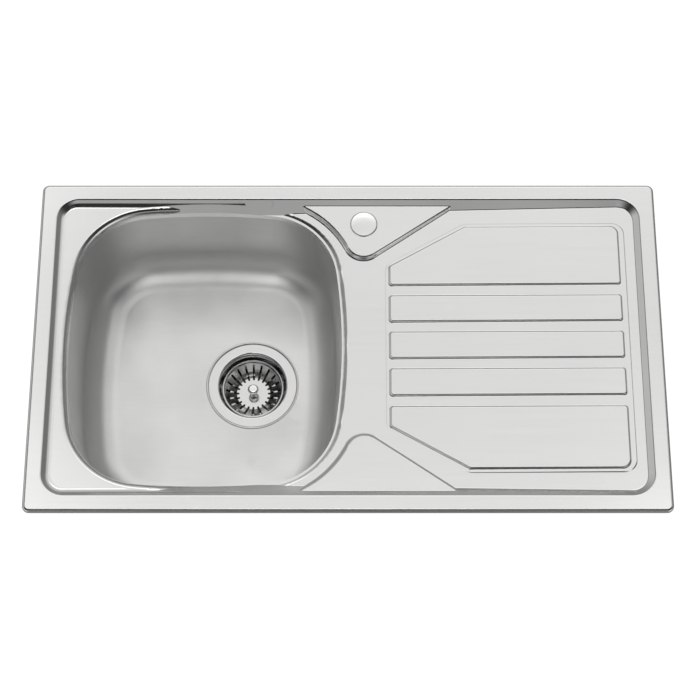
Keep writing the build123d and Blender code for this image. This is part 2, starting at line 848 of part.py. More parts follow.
os.makedirs("parts", exist_ok=True)
export_step(deck.part, "parts/deck.step")
export_step(bowl.part, "parts/bowl.step")
export_step(tap_hole_blank.part, "parts/tap_hole_blank.step")
export_step(rim_seal.part, "parts/rim_seal.step")
export_step(bowl_damping_pad.part, "parts/bowl_damping_pad.step")
export_step(clip_lugs.part, "parts/clip_lugs.step")
export_step(clip_pins.part, "parts/clip_pins.step")
for number, (site, swing) in enumerate(zip(clip_sites, clip_swings), start=1):
    swung_site = site * Location((0, 0, 0), (swing, 0, 0))
    with BuildPart() as clip_arm:
        with Locations(swung_site):
            add(arm.part)
    clip_arm.part.label = f"clip_arm_{number}"
    export_step(clip_arm.part, f"parts/clip_arm_{number}.step")
    with BuildPart() as clip_screw:
        with Locations(swung_site):
            add(clamp_screw.part)
    clip_screw.part.label = f"clip_screw_{number}"
    export_step(clip_screw.part, f"parts/clip_screw_{number}.step")
export_step(strainer_flange.part, "parts/strainer_flange.step")
export_step(flange_gasket.part, "parts/flange_gasket.step")
export_step(lower_gasket_ring.part, "parts/lower_gasket.step")
export_step(waste_body.part, "parts/waste_body.step")
export_step(waste_screw.part, "parts/waste_screw.step")
export_step(stem_clip.part, "parts/stem_clip.step")
export_step(strainer_basket.part, "parts/strainer_basket.step")
export_step(basket_knob.part, "parts/basket_knob.step")
export_step(basket_stem.part, "parts/basket_stem.step")
export_step(basket_seal.part, "parts/basket_seal.step")
export_step(seal_retainer.part, "parts/seal_retainer.step")
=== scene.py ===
"""Looks of an inset kitchen sink with a drainboard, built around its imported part."""

import json
import logging
import math
from abc import ABC, abstractmethod
from dataclasses import dataclass
from enum import Enum
from functools import cache
from typing import ClassVar

import bpy
import numpy as np
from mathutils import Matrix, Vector


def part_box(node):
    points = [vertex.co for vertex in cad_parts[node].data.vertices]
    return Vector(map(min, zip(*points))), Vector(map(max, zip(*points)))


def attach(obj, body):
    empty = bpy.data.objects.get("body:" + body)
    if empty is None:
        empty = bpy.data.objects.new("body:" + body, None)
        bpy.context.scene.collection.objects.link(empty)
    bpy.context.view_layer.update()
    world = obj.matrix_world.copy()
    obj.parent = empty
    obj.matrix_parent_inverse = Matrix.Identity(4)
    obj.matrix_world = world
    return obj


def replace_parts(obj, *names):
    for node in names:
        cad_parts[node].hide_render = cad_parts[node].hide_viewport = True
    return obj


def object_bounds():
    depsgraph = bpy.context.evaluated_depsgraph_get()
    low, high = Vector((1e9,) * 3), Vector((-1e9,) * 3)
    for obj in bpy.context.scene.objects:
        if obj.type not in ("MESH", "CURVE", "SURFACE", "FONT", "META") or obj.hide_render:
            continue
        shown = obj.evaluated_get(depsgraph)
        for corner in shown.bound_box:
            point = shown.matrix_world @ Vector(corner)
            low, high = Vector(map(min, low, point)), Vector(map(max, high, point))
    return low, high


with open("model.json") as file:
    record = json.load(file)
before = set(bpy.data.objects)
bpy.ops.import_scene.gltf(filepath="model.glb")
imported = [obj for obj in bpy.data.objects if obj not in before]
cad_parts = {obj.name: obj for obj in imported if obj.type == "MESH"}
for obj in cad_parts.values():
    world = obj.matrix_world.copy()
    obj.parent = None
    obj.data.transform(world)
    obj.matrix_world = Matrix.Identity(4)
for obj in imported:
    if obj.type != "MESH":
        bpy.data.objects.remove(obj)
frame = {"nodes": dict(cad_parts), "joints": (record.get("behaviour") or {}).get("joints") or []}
CAD_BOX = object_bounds()

LOG = logging.getLogger("sink")
MILLIMETRE = 0.001
SHARP_ANGLE = math.radians(35)

Colour = tuple[float, float, float]
Stops = list[tuple[float, float]]
Numbers = tuple[float, ...]
Socket = bpy.types.NodeSocket
Value = Socket | float | Numbers
BLACK = (0.0, 0.0, 0.0)
UP = (0.0, 0.0, 1.0)
HALF_TURN = 180


# ---- shader plumbing ----


@dataclass
class Shader:
    """A node tree being filled, with short calls for the nodes that the finishes share."""

    tree: bpy.types.NodeTree

    def node(self, kind: str, *values: Value, **settings: object) -> bpy.types.Node:
        """Adds a node.

        Args:
            kind: Blender's name of the node type.
            values: what its first inputs get, in their order.
            settings: properties of the node to set.

        Returns:
            The new node.
        """
        node = self.tree.nodes.new(kind)
        for name, setting in settings.items():
            setattr(node, name, setting)
        for socket, value in zip(node.inputs, values):
            self.feed(socket, value)
        return node

    def link(self, source: Socket, target: Socket) -> None:
        """Joins an output to an input."""
        self.tree.links.new(source, target)

    def feed(self, target: Socket, value: Value) -> None:
        """Joins an output to an input, or sets the input to a number or vector.

        Args:
            target: the input.
            value: another node's output, a number or a vector.
        """
        if isinstance(value, Socket):
            self.link(value, target)
        else:
            target.default_value = value

    def feed_by_name(self, node: bpy.types.Node, **values: Value) -> bpy.types.Node:
        """Feeds a node's inputs by name.

        Args:
            node: the node.
            values: what each input gets, with the spaces of its name written as underscores.

        Returns:
            The same node.
        """
        for name, value in values.items():
            self.feed(node.inputs[name.replace("_", " ")], value)
        return node

    def maths(self, operation: str, *values: Value, clamp: bool = False) -> Socket:
        """The result of Blender's operation of that name, kept between 0 and 1 if clamped."""
        return self.node("ShaderNodeMath", *values, operation=operation, use_clamp=clamp).outputs[0]

    def dot(self, vector: Socket, direction: Numbers) -> Socket:
        """How far a vector reaches along a direction."""
        node = self.node("ShaderNodeVectorMath", vector, direction, operation="DOT_PRODUCT")
        return node.outputs["Value"]

    def between(self, factor: Socket, low: Value, high: Value) -> Socket:
        """Goes from low to high as the factor goes from 0 to 1."""
        return self.node("ShaderNodeMapRange", factor, 0.0, 1.0, low, high).outputs[0]

    def stretch(self, value: Socket, low: float, high: float) -> Socket:
        """Spreads the values from low to high over 0 to 1, and cuts off what lies outside."""
        return self.node("ShaderNodeMapRange", value, low, high).outputs[0]

    def mixed(self, factor: Socket, low: Socket | Colour, high: Socket | Colour) -> Socket:
        """Mixes two colours.

        Args:
            factor: 0 for the low colour and 1 for the high one.
            low: a colour, or the output of another node.
            high: the same.

        Returns:
            The colour between them.
        """
        node = self.node("ShaderNodeMix", factor, data_type="RGBA")
        targets = [socket for socket in node.inputs if socket.type == "RGBA"]
        for target, colour in zip(targets, (low, high)):
            self.feed(target, (*colour, 1.0) if isinstance(colour, tuple) else colour)
        return next(socket for socket in node.outputs if socket.type == "RGBA")

    def noise(
        self, vector: Socket, scale: float = 1.0, detail: float = 2.0, roughness: float = 0.5
    ) -> Socket:
        """Soft random values about one half.

        Args:
            vector: where the value is read.
            scale: how many soft cells there are in one unit of the vector.
            detail: how many finer layers are added.
            roughness: how strong the finer layers are.

        Returns:
            The value.
        """
        node = self.node("ShaderNodeTexNoise")
        self.feed_by_name(node, Vector=vector, Scale=scale, Detail=detail, Roughness=roughness)
        return node.outputs["Fac"]

    def cells(self, vector: Socket) -> bpy.types.Node:
        """A random mosaic with about one cell in each unit of the vector."""
        return self.feed_by_name(self.node("ShaderNodeTexVoronoi"), Vector=vector, Scale=1.0)

    def divided(self, vector: Socket, length: Socket, width: Socket) -> Socket:
        """Divides a vector's X by a length, and its Y and Z by a width.

        Args:
            vector: the vector.
            length: the length.
            width: the width.

        Returns:
            The divided vector.
        """
        parts = zip(self.node("ShaderNodeSeparateXYZ", vector).outputs, (length, width, width))
        shares = [self.maths("DIVIDE", part, size) for part, size in parts]
        return self.node("ShaderNodeCombineXYZ", *shares).outputs[0]

    def scaled(self, vector: Socket, size: Socket) -> Socket:
        """The vector divided by a size."""
        return self.divided(vector, size, size)

    def place(self) -> Socket:
        """Object coordinates, in metres in the part's own frame."""
        return self.node("ShaderNodeTexCoord").outputs["Object"]

    def about(self, vector: Socket, centre: Numbers) -> Socket:
        """The vector measured from a centre."""
        away = self.node("ShaderNodeVectorMath", vector, centre, operation="SUBTRACT")
        return away.outputs["Vector"]

    def group(self, tree: bpy.types.NodeTree, **values: Value) -> bpy.types.Node:
        """Places a shared node group, and feeds its inputs by name."""
        return self.feed_by_name(self.node("ShaderNodeGroup", node_tree=tree), **values)

    def bump(self, height: Socket, depth: float, under: Socket | None = None) -> Socket:
        """Turns a height between 0 and 1 into a tilt of the surface.

        Args:
            height: the height.
            depth: how deep a height of 1 is, in metres.
            under: a tilt that this one is laid over.

        Returns:
            The tilted normal.
        """
        node = self.feed_by_name(self.node("ShaderNodeBump"), Height=height, Distance=depth)
        if under is not None:
            self.link(under, node.inputs["Normal"])
        return node.outputs["Normal"]


def new_material(name: str) -> tuple[bpy.types.Material, Shader, bpy.types.Node]:
    """Starts a material with one Principled shader.

    Args:
        name: the material's name.

    Returns:
        The material, its node tree wrapped for building, and its Principled node.
    """
    material = bpy.data.materials.new(f"{name}_finish")
    material.use_nodes = True
    shader = Shader(material.node_tree)
    principled = material.node_tree.nodes["Principled BSDF"]
    return material, shader, principled


# ---- node groups: each is built once and shared by the finishes ----


@dataclass
class Pattern:
    """A node group being built: it starts from a place on the surface and puts out values."""

    name: str
    inputs: tuple[str, ...]
    outputs: tuple[str, ...]

    def start(self) -> tuple[Shader, dict[str, Socket], dict[str, Socket]]:
        """Makes the empty group.

        Returns:
            Its tree wrapped for building, its inputs and its outputs, both by name.
        """
        tree = bpy.data.node_groups.new(self.name, "ShaderNodeTree")
        tree.interface.new_socket(name="Vector", in_out="INPUT", socket_type="NodeSocketVector")
        for name in self.inputs:
            tree.interface.new_socket(name=name, in_out="INPUT", socket_type="NodeSocketFloat")
        for name in self.outputs:
            tree.interface.new_socket(name=name, in_out="OUTPUT", socket_type="NodeSocketFloat")
        shader = Shader(tree)
        entry = shader.node("NodeGroupInput")
        way_out = shader.node("NodeGroupOutput")
        sources = {name: entry.outputs[name] for name in ("Vector", *self.inputs)}
        targets = {name: way_out.inputs[name] for name in self.outputs}
        return shader, sources, targets


@cache
def rolled_grain() -> bpy.types.NodeTree:
    """The mill's grain on rolled sheet.

    Height is noise drawn out along X, Length long and Width wide. Streak is the same, four times as
    long and twelve times as wide, with its contrast raised.

    Returns:
        The group.
    """
    shader, given, out = Pattern("rolled_grain", ("Length", "Width"), ("Height", "Streak")).start()
    fine = shader.divided(given["Vector"], given["Length"], given["Width"])
    shader.link(shader.noise(fine, detail=3.0, roughness=0.6), out["Height"])
    longer, wider = 4.0, 12.0
    long_size = shader.maths("MULTIPLY", given["Length"], longer)
    wide_size = shader.maths("MULTIPLY", given["Width"], wider)
    coarse = shader.divided(given["Vector"], long_size, wide_size)
    shader.link(shader.stretch(shader.noise(coarse), low=0.30, high=0.70), out["Streak"])
    return shader.tree


@cache
def soft_patches() -> bpy.types.NodeTree:
    """Soft cloudy patches about Size across: noise with its contrast raised.

    Returns:
        The group.
    """
    shader, given, out = Pattern("soft_patches", ("Size",), ("Value",)).start()
    cloud = shader.noise(shader.scaled(given["Vector"], given["Size"]), detail=3.0, roughness=0.45)
    shader.link(shader.stretch(cloud, low=0.32, high=0.68), out["Value"])
    return shader.tree


@cache
def hairlines() -> bpy.types.NodeTree:
    """Fine curved rub marks.

    A mark runs where a soft noise passes through one half: its distance from one half, divided by
    Thickness and taken from 1. A second noise leaves only some stretches of it.

    Returns:
        The group.
    """
    shader, given, out = Pattern("hairlines", ("Size", "Thickness"), ("Mark",)).start()
    scaled = shader.scaled(given["Vector"], given["Size"])
    level = shader.noise(scaled, detail=1.0)
    distance = shader.maths("ABSOLUTE", shader.maths("SUBTRACT", level, 0.5))
    line = shader.maths("SUBTRACT", 1.0, shader.maths("DIVIDE", distance, given["Thickness"]), clamp=True)
    stretches = shader.stretch(shader.noise(scaled, scale=2.3, detail=1.0), low=0.48, high=0.62)
    shader.link(shader.maths("MULTIPLY", line, stretches), out["Mark"])
    return shader.tree


@cache
def spangle() -> bpy.types.NodeTree:
    """Crystals of a zinc coat, about Size across: each cell of a random mosaic has its own value.

    Height is noise times a second value of the cell.

    Returns:
        The group.
    """
    shader, given, out = Pattern("spangle", ("Size",), ("Value", "Height")).start()
    scaled = shader.scaled(given["Vector"], given["Size"])
    tint = shader.node("ShaderNodeSeparateXYZ", shader.cells(scaled).outputs["Color"])
    shader.link(tint.outputs["X"], out["Value"])
    grain = shader.noise(scaled, scale=3.0, detail=3.0)
    shader.link(shader.maths("MULTIPLY", grain, tint.outputs["Y"]), out["Height"])
    return shader.tree


@cache
def moulded_skin() -> bpy.types.NodeTree:
    """The skin of moulded plastic or rubber: fine pimples of Size, and broad flow patches.

    Returns:
        The group.
    """
    shader, given, out = Pattern("moulded_skin", ("Size",), ("Height", "Patch")).start()
    scaled = shader.scaled(given["Vector"], given["Size"])
    shader.link(shader.noise(scaled, detail=4.0, roughness=0.65), out["Height"])
    shader.link(shader.stretch(shader.noise(scaled, scale=0.03), low=0.3, high=0.7), out["Patch"])
    return shader.tree


@cache
def pores() -> bpy.types.NodeTree:
    """Pores of foam: the distance to the nearest of many scattered points.

    Pit is 1 close to a point and fades to 0 a third of Size away.

    Returns:
        The group.
    """
    shader, given, out = Pattern("pores", ("Size",), ("Height", "Pit")).start()
    scaled = shader.scaled(given["Vector"], given["Size"])
    distance = shader.cells(scaled).outputs["Distance"]
    shader.link(distance, out["Height"])
    shader.link(shader.stretch(distance, low=0.35, high=0.15), out["Pit"])
    return shader.tree


@cache
def waffle() -> bpy.types.NodeTree:
    """Rolled-in diamonds: the root of the product of two waves that slant across X and Y, Size apart.

    Returns:
        The group.
    """
    shader, given, out = Pattern("waffle", ("Size",), ("Height",)).start()
    scaled = shader.scaled(given["Vector"], given["Size"])
    waves = []
    for slant in ((math.pi, math.pi, 0.0), (math.pi, -math.pi, 0.0)):
        waves.append(shader.maths("ABSOLUTE", shader.maths("SINE", shader.dot(scaled, slant))))
    shader.link(shader.maths("SQRT", shader.maths("MULTIPLY", *waves)), out["Height"])
    return shader.tree


# ---- finishes ----


def shaded(colour: Colour, factor: float) -> Colour:
    """A colour made lighter or darker by a factor."""
    red, green, blue = colour
    return (red * factor, green * factor, blue * factor)


class Brushing(Enum):
    """Which way the marks of a steel surface run."""

    ALONG = "along the sheet"
    ROUND = "round the waste's axis"


@dataclass(frozen=True)
class Finish(ABC):
    """What the finishes share: a name, a reflectance, and how a material is put together."""

    name: str
    colour: Colour
    metallic: ClassVar[float] = 0.0

    @abstractmethod
    def surface(self, shader: Shader) -> tuple[Socket, Socket, Socket]:
        """Colour, roughness and normal over the surface."""

    def material(self) -> bpy.types.Material:
        """Builds the finish.

        Returns:
            The material.
        """
        material, shader, principled = new_material(self.name)
        for name, source in zip(("Base Color", "Roughness", "Normal"), self.surface(shader)):
            shader.link(source, principled.inputs[name])
        principled.inputs["Metallic"].default_value = self.metallic
        return material


@dataclass(frozen=True)
class Steel(Finish):
    """Bare stainless steel: grain, cloudy polish and rub marks.

    Each size and depth is in metres.
    """

    metallic = 1.0
    roughness: float
    brushing: Brushing = Brushing.ALONG
    cloud_size: float = 0.120
    cloud_roughness: float = 0.04
    cloud_tone: float = 0.03
    streak_tone: float = 0.02
    grain_length: float = 0.030
    grain_width: float = 0.0004
    grain_depth: float = 0.0000004
    mark_size: float = 0.050
    mark_thickness: float = 0.012
    mark_roughness: float = 0.05

    def surface_place(self, shader: Shader) -> Socket:
        """Where the grain is read: the plain place, or one unrolled round the waste.

        Unrolled, X is the angle round the waste times the grain's length, Y is the distance from the
        waste's axis, and Z stays.

        Args:
            shader: the material's tree.

        Returns:
            The place.
        """
        place = shader.place()
        if self.brushing is Brushing.ALONG:
            return place
        low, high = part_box("strainer_flange")
        centred = shader.about(place, ((low.x + high.x) / 2, (low.y + high.y) / 2, 0.0))
        across, back, up = shader.node("ShaderNodeSeparateXYZ", centred).outputs
        squares = [shader.maths("MULTIPLY", part, part) for part in (across, back)]
        radius = shader.maths("SQRT", shader.maths("ADD", *squares))
        turn = shader.maths("MULTIPLY", shader.maths("ARCTAN2", back, across), self.grain_length)
        return shader.node("ShaderNodeCombineXYZ", turn, radius, up).outputs[0]

    def surface(self, shader: Shader) -> tuple[Socket, Socket, Socket]:
        """Colour, roughness and normal over the surface.

        Args:
            shader: the material's tree.

        Returns:
            The three outputs.
        """
        place = shader.place()
        grain = shader.group(rolled_grain(), Length=self.grain_length, Width=self.grain_width)
        shader.link(self.surface_place(shader), grain.inputs["Vector"])
        cloud = shader.group(soft_patches(), Vector=place, Size=self.cloud_size).outputs["Value"]
        marks = shader.group(
            hairlines(), Vector=place, Size=self.mark_size, Thickness=self.mark_thickness
        )
        streaks = shader.maths("MULTIPLY", grain.outputs["Streak"], self.streak_tone)
        tone = shader.maths("SUBTRACT", shader.between(cloud, 1.0 - self.cloud_tone, 1.0), streaks)
        even = shader.between(cloud, self.roughness + self.cloud_roughness, self.roughness)
        worn = shader.maths("MULTIPLY", marks.outputs["Mark"], self.mark_roughness)
        rough = shader.maths("ADD", even, worn)
        normal = shader.bump(grain.outputs["Height"], self.grain_depth)
        return shader.mixed(tone, BLACK, self.colour), rough, normal


@dataclass(frozen=True)
class ZincCoat(Finish):
    """Galvanised or zinc-plated steel: crystals that differ in tone and gloss."""

    metallic = 1.0
    roughness: float
    crystal: float
    contrast: float
    dullest: float = 1.3
    relief: float = 0.00003

    def surface(self, shader: Shader) -> tuple[Socket, Socket, Socket]:
        """Colour, roughness and normal over the surface.

        Args:
            shader: the material's tree.

        Returns:
            The three outputs.
        """
        coat = shader.group(spangle(), Vector=shader.place(), Size=self.crystal)
        value = coat.outputs["Value"]
        tint = shader.mixed(value, shaded(self.colour, 1.0 - self.contrast), self.colour)
        rough = shader.between(value, self.roughness * self.dullest, self.roughness)
        return tint, rough, shader.bump(coat.outputs["Height"], self.relief)


@dataclass(frozen=True)
class Moulding(Finish):
    """Moulded plastic or rubber: a fine skin, and flow patches that differ in tone and gloss."""

    roughness: float
    skin: float
    skin_depth: float
    contrast: float = 0.08
    dullest: float = 1.12
    glossiest: float = 0.92

    def surface(self, shader: Shader) -> tuple[Socket, Socket, Socket]:
        """Colour, roughness and normal over the surface.

        Args:
            shader: the material's tree.

        Returns:
            The three outputs.
        """
        skin = shader.group(moulded_skin(), Vector=shader.place(), Size=self.skin)
        patch = skin.outputs["Patch"]
        tint = shader.mixed(patch, shaded(self.colour, 1.0 - self.contrast), self.colour)
        rough = shader.between(patch, self.roughness * self.dullest, self.roughness * self.glossiest)
        return tint, rough, shader.bump(skin.outputs["Height"], self.skin_depth)


@dataclass(frozen=True)
class Foam(Finish):
    """Closed-cell foam rubber: small pits, with painted shade that darkens them towards their bottom."""

    pore: float
    pit_painted_shade: float = 0.35
    skin_roughness: float = 0.82
    pit_roughness: float = 0.95

    def surface(self, shader: Shader) -> tuple[Socket, Socket, Socket]:
        """Colour, roughness and normal over the surface.

        Args:
            shader: the material's tree.

        Returns:
            The three outputs.
        """
        pits = shader.group(pores(), Vector=shader.place(), Size=self.pore)
        pit = pits.outputs["Pit"]
        # Painted shade: the colour darkens towards the bottom of each pit.
        tint = shader.mixed(pit, self.colour, shaded(self.colour, self.pit_painted_shade))
        rough = shader.between(pit, self.skin_roughness, self.pit_roughness)
        return tint, rough, shader.bump(pits.outputs["Height"], self.pore / 2)


@dataclass(frozen=True)
class Bitumen(Finish):
    """Rolled damping sheet: an embossed waffle under a dull mineral skin, with painted shade darkening its
    grooves.
    """

    diamond: float
    diamond_depth: float = 0.0006
    groove_painted_shade: float = 0.55
    skin: float = 0.0008
    skin_depth: float = 0.0001
    glossiest: float = 0.72
    dullest: float = 0.88

    def surface(self, shader: Shader) -> tuple[Socket, Socket, Socket]:
        """Colour, roughness and normal over the surface.

        Args:
            shader: the material's tree.

        Returns:
            The three outputs.
        """
        place = shader.place()
        emboss = shader.group(waffle(), Vector=place, Size=self.diamond).outputs["Height"]
        skin = shader.group(moulded_skin(), Vector=place, Size=self.skin)
        # Painted shade: the waffle's grooves are darker than its crowns.
        tint = shader.mixed(emboss, shaded(self.colour, self.groove_painted_shade), self.colour)
        rough = shader.between(skin.outputs["Patch"], self.glossiest, self.dullest)
        under = shader.bump(emboss, self.diamond_depth)
        return tint, rough, shader.bump(skin.outputs["Height"], self.skin_depth, under)


DECK_STEEL = Steel("deck_steel", (0.80, 0.80, 0.79), 0.13, cloud_roughness=0.03)
BOWL_STEEL = Steel(
    "bowl_steel", (0.76, 0.76, 0.75), 0.36, cloud_size=0.080, cloud_roughness=0.06, cloud_tone=0.06,
    grain_length=0.012, grain_width=0.0003,
)
POLISHED_STEEL = Steel(
    "polished_steel", (0.80, 0.80, 0.79), 0.10, Brushing.ROUND, cloud_size=0.020, mark_size=0.012,
)
ROLLED_EDGE = Steel(
    "rolled_edge", (0.80, 0.80, 0.79), 0.32, Brushing.ROUND, cloud_size=0.020, mark_size=0.012,
)
CHROME = Steel(
    "knob_chrome", (0.90, 0.90, 0.89), 0.12, Brushing.ROUND, cloud_size=0.010, cloud_roughness=0.02,
    streak_tone=0.0, mark_size=0.006, mark_roughness=0.03,
)
GALVANISED = ZincCoat("galvanised", (0.60, 0.61, 0.62), 0.34, 0.005, 0.22)
ZINC = ZincCoat("screw_zinc", (0.66, 0.66, 0.63), 0.26, 0.0012, 0.12)
SEAL_RUBBER = Moulding("seal_rubber", (0.020, 0.020, 0.020), 0.50, 0.0005, 0.00003)
FOAM = Foam("foam", (0.036, 0.036, 0.036), 0.0009)
BITUMEN = Bitumen("pad_bitumen", (0.075, 0.075, 0.080), 0.007)
WASTE_PLASTIC = Moulding("waste_plastic", (0.74, 0.74, 0.72), 0.38, 0.0007, 0.00002, 0.04)
CLIP_PLASTIC = Moulding("clip_plastic", (0.060, 0.060, 0.065), 0.45, 0.0004, 0.00002)


@cache
def material_of(finish: Finish) -> bpy.types.Material:
    """The finish's material, built on first use."""
    return finish.material()


def dress(finish: Finish, *names: str) -> None:
    """Gives CAD nodes a finish.

    Args:
        finish: what they are finished with.
        names: the nodes' names.
    """
    material = material_of(finish)
    for name in names:
        slots = frame["nodes"][name].data.materials
        slots.clear()
        slots.append(material)
        LOG.info("dressed %s in %s", name, material.name)


# ---- meshes ----


def tube_faces(rings: int, points: int, closed: bool) -> list[list[int]]:
    """Faces of a tube whose points are numbered ring by ring.

    Quad (i, j) joins points j and j + 1 of ring i to the same points of ring i + 1, and counting
    goes round: after a ring's last point comes its first. The faces point outwards when the points
    run anticlockwise seen from before the first ring.

    Args:
        rings: how many rings there are.
        points: how many points a ring has.
        closed: whether the last ring joins the first. Otherwise each end ring is a face.

    Returns:
        The point numbers of each face.
    """
    ring, point = np.meshgrid(np.arange(rings if closed else rings - 1), np.arange(points), indexing="ij")
    here, there = ring * points, (ring + 1) % rings * points
    beside = (point + 1) % points
    corners = (there + point, there + beside, here + beside, here + point)
    quads = np.stack(corners, axis=-1).reshape(-1, 4).tolist()
    last = points * (rings - 1)
    caps = [list(range(points)), list(range(last + points - 1, last - 1, -1))]
    return quads if closed else quads + caps


def full_turn(count: int) -> np.ndarray:
    """Evenly spaced angles of one turn."""
    return np.linspace(0, 2 * np.pi, count, endpoint=False)


def round_axis(angle: np.ndarray) -> tuple[np.ndarray, np.ndarray]:
    """Directions away from an upright axis and along it, one row for each angle round it."""
    out = np.column_stack([np.cos(angle), np.sin(angle), np.zeros(len(angle))])
    return out, np.tile(UP, (len(angle), 1))


def swept_rings(centres: np.ndarray, out: np.ndarray, up: np.ndarray, section: np.ndarray) -> np.ndarray:
    """Rings of points made by carrying a profile along a path.

    Point j of ring i is centre i, plus the section's first number times out i, plus its second
    number times up i.

    Args:
        centres: the path, one row for each ring.
        out: the section's first direction in each ring.
        up: the section's second direction in each ring.
        section: pairs of distances, one set for each ring or one for all.

    Returns:
        The points, by ring, by place in the ring and by axis.
    """
    return centres[:, None, :] + section[..., :1] * out[:, None, :] + section[..., 1:] * up[:, None, :]


@dataclass(frozen=True)
class Piece:
    """A new piece that rides on a body of the part, with a slot's name and the finish it is given."""

    name: str
    body: str
    slot: str
    finish: Finish

    def make(self, rings: np.ndarray, closed: bool = False) -> bpy.types.Object:
        """Makes the piece's mesh and object.

        Args:
            rings: its points in metres, by ring, by place in the ring and by axis.
            closed: whether the last ring joins the first.

        Returns:
            The object.
        """
        mesh = bpy.data.meshes.new(self.name)
        mesh.from_pydata(rings.reshape(-1, 3).tolist(), [], tube_faces(*rings.shape[:2], closed))
        mesh.polygons.foreach_set("use_smooth", np.ones(len(mesh.polygons), dtype=bool))
        mesh.set_sharp_from_angle(angle=SHARP_ANGLE)
        mesh.materials.append(material_of(self.finish))
        piece = bpy.data.objects.new(self.name, mesh)
        bpy.context.scene.collection.objects.link(piece)
        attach(piece, self.body)
        LOG.info("made %s with %d faces", self.name, len(mesh.polygons))
        return piece


def node_points(name: str) -> np.ndarray:
    """Reads every point of a CAD node's mesh.

    Args:
        name: the node's name.

    Returns:
        The points in metres, one row each.
    """
    mesh = frame["nodes"][name].data
    flat = np.empty(3 * len(mesh.vertices))
    mesh.vertices.foreach_get("co", flat)
    return flat.reshape(-1, 3)


def outer_edge(name: str, centre: np.ndarray, samples: int) -> np.ndarray:
    """The outer edge of a CAD shell's highest face, as evenly turned points round a centre.

    It uses the face corners at the top whose normal points away from the centre, sorts them by
    their angle and reads their radius at even steps of the angle.

    Args:
        name: the node's name.
        centre: X and Y of the point that the angle is measured round.
        samples: how many points come back.

    Returns:
        The points, one row each, anticlockwise seen from above.
    """
    mesh = frame["nodes"][name].data
    corners, normals = np.empty(len(mesh.loops), dtype=int), np.empty(3 * len(mesh.loops))
    mesh.loops.foreach_get("vertex_index", corners)
    mesh.corner_normals.foreach_get("vector", normals)
    points = node_points(name)[corners]
    away = points[:, :2] - centre
    radius = np.hypot(*away.T)
    facing = np.einsum("ij,ij->i", away, normals.reshape(-1, 3)[:, :2]) / radius
    top = points[:, 2].max()
    face_depth, least_facing = 0.1 * MILLIMETRE, 0.5
    rim = (points[:, 2] > top - face_depth) & (facing > least_facing)
    angle = np.arctan2(away[rim, 1], away[rim, 0])
    turn = np.linspace(-np.pi, np.pi, samples, endpoint=False)
    order = np.argsort(angle)
    reach = np.interp(turn, angle[order], radius[rim][order], period=2 * np.pi)
    flat = centre + reach[:, None] * np.stack([np.cos(turn), np.sin(turn)], axis=1)
    return np.column_stack([flat, np.full(samples, top)])


# ---- sub-assemblies ----


@dataclass(frozen=True)
class PressedTop:
    """The pressed sheet with its rim, drainer and ledges, the tap hole's blank and the rim's seal."""

    sheet: Steel = DECK_STEEL
    seal: Foam = FOAM

    def build(self) -> None:
        """Dresses the pieces of the top."""
        dress(self.sheet, "deck", "tap_hole_blank")
        dress(self.seal, "rim_seal")


@dataclass(frozen=True)
class DrawnBowl:
    """The deep-drawn bowl, the weld that joins it to the top, and its damping pad."""

    steel: Steel = BOWL_STEEL
    bead_half_width: float = 1.2 * MILLIMETRE
    bead_height: float = 0.8 * MILLIMETRE
    bead_sunk: float = 0.3 * MILLIMETRE
    ripple: float = 0.25
    ripple_length: float = 1.8 * MILLIMETRE
    rings: int = 1400
    ring_points: int = 10

    def bead(self) -> None:
        """Lays the weld bead round the outside of the joint.

        Its section is half an ellipse that stands on the wall and is sunk in it a little. Its height
        goes up and down by the ripple share, as a full-wave rectified sine of the length run.
        """
        low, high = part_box("bowl")
        centre = np.array([(low.x + high.x) / 2, (low.y + high.y) / 2])
        path = outer_edge("bowl", centre, self.rings)
        along = np.roll(path, -1, axis=0) - np.roll(path, 1, axis=0)
        step = np.linalg.norm(along, axis=1) / 2
        out = np.column_stack([along[:, 1], -along[:, 0], np.zeros(self.rings)]) / (2 * step[:, None])
        up = np.tile(UP, (self.rings, 1))
        run = np.cumsum(step)
        waves = np.round(run[-1] / self.ripple_length)
        height = self.bead_height * (1 - self.ripple * np.abs(np.sin(np.pi * waves * run / run[-1])))
        turn = full_turn(self.ring_points)
        reach = np.where(np.cos(turn) > 0, height[:, None] * np.cos(turn), self.bead_sunk * np.cos(turn))
        rise = np.broadcast_to(self.bead_half_width * np.sin(turn), reach.shape)
        rings = swept_rings(path, out, up, np.stack([reach, rise], axis=-1))
        Piece("weld_bead", "sink", "bowl_steel", self.steel).make(rings, closed=True)

    def build(self) -> None:
        """Dresses the bowl and its pad, and adds the weld."""
        dress(self.steel, "bowl")
        dress(BITUMEN, "bowl_damping_pad")
        self.bead()


